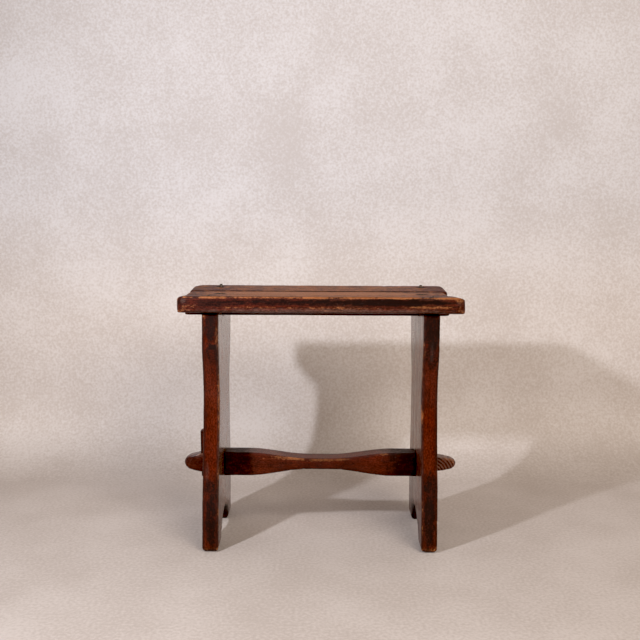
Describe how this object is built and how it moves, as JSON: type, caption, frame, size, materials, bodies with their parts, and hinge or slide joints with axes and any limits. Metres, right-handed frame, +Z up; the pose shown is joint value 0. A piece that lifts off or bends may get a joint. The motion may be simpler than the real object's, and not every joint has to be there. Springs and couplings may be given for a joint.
{
  "type": "slatted stool",
  "caption": "Small wooden stool with a slatted, slightly dished seat nailed to waisted board legs, tied by a hollowed stretcher with through tenons and keys.",
  "frame": {"origin": "on the floor, under the middle of the seat", "axes": "+X along the seat, towards the end with the thinner key; +Y from the front to the back; +Z up"},
  "size_m": [0.503, 0.2424, 0.4536],
  "materials": {
    "seat_wood": "dark red-brown stain under worn glossy varnish",
    "leg_wood": "dark red-brown stain under worn glossy varnish",
    "stretcher_wood": "dark red-brown stain under worn glossy varnish",
    "key_wood": "dark red-brown stain, waxed",
    "nail_iron": "forged, blackened"
  },
  "bodies": {
    "root": {"front_slat": "seat_wood", "middle_slat": "seat_wood", "rear_slat": "seat_wood", "left_leg": "leg_wood", "right_leg": "leg_wood", "stretcher": "stretcher_wood", "left_key": "key_wood", "right_key": "key_wood", "front_slat_nails": "nail_iron", "middle_slat_nails": "nail_iron", "rear_slat_nails": "nail_iron"}
  },
  "joints": []
}
